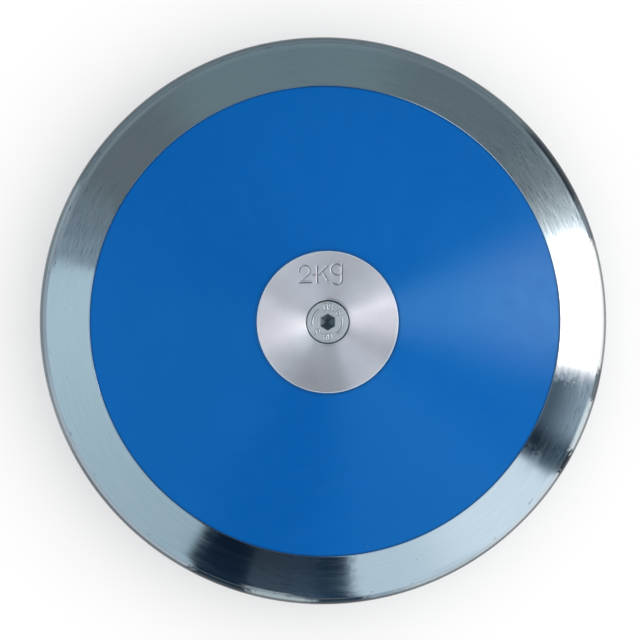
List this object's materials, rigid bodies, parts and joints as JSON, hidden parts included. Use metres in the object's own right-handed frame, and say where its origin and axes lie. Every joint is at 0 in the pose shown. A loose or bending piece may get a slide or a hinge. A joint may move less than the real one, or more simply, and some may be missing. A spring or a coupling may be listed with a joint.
{
  "type": "discus",
  "caption": "Throwing discus with a turned steel rim, moulded plastic side plates, flat centre plates and countersunk screws on a steel core.",
  "frame": {"origin": "centre of the discus, on its axis and in its middle plane", "axes": "+Z along the discus's axis, out of the side with the mass mark; +Y towards the top of that mark, +X to its right"},
  "size_m": [0.22, 0.22, 0.045],
  "materials": {
    "rim_steel": "turned and polished steel with a bright plated skin, brushed round the rim",
    "plate_blue": "glossy blue moulded plastic",
    "centre_aluminium": "satin, face turned in fine rings",
    "screw_steel": "zinc-plated steel, satin",
    "core_steel": "turned bar steel, oiled"
  },
  "bodies": {
    "root": {"rim": "rim_steel", "side_plate_upper": "plate_blue", "side_plate_lower": "plate_blue", "centre_plate_upper": "centre_aluminium", "centre_plate_lower": "centre_aluminium", "centre_screw_upper": "screw_steel", "centre_screw_lower": "screw_steel", "hub_core": "core_steel", "trim_washer_upper_1": "screw_steel", "trim_washer_upper_2": "screw_steel", "trim_washer_lower_1": "screw_steel", "trim_washer_lower_2": "screw_steel"}
  },
  "joints": []
}
